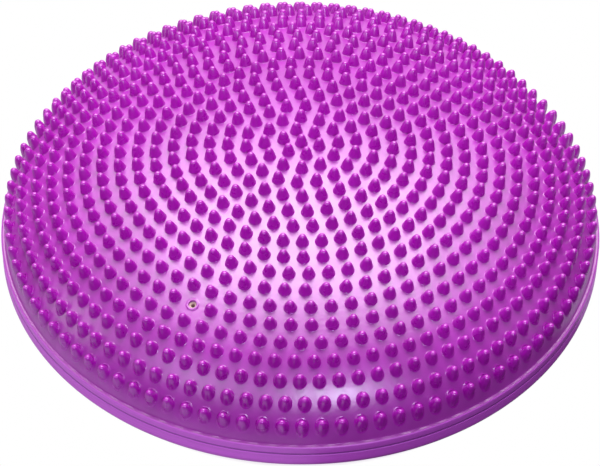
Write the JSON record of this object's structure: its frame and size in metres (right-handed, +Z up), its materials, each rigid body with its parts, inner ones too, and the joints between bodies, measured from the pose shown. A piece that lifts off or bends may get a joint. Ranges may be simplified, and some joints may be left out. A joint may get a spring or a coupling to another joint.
{
  "type": "inflatable balance dome",
  "caption": "Inflatable balance dome with a crown of soft massage nubs, a welded rim, a gripping underside and a needle valve.",
  "frame": {"origin": "middle of the base on the floor, under the crown", "axes": "+Z up through the crown, -Y to the front, the side nearest the valve; +X to the right seen from the front"},
  "size_m": [0.33, 0.33, 0.0941],
  "materials": {
    "skin": "glossy",
    "nubs": "glossy",
    "weld": "satin",
    "valve_rubber": "matte"
  },
  "bodies": {
    "root": {"upper_skin": "skin", "massage_nubs": "nubs", "lower_skin": "skin", "rim_weld": "weld", "valve_seat": "skin", "valve_core": "valve_rubber"}
  },
  "joints": []
}
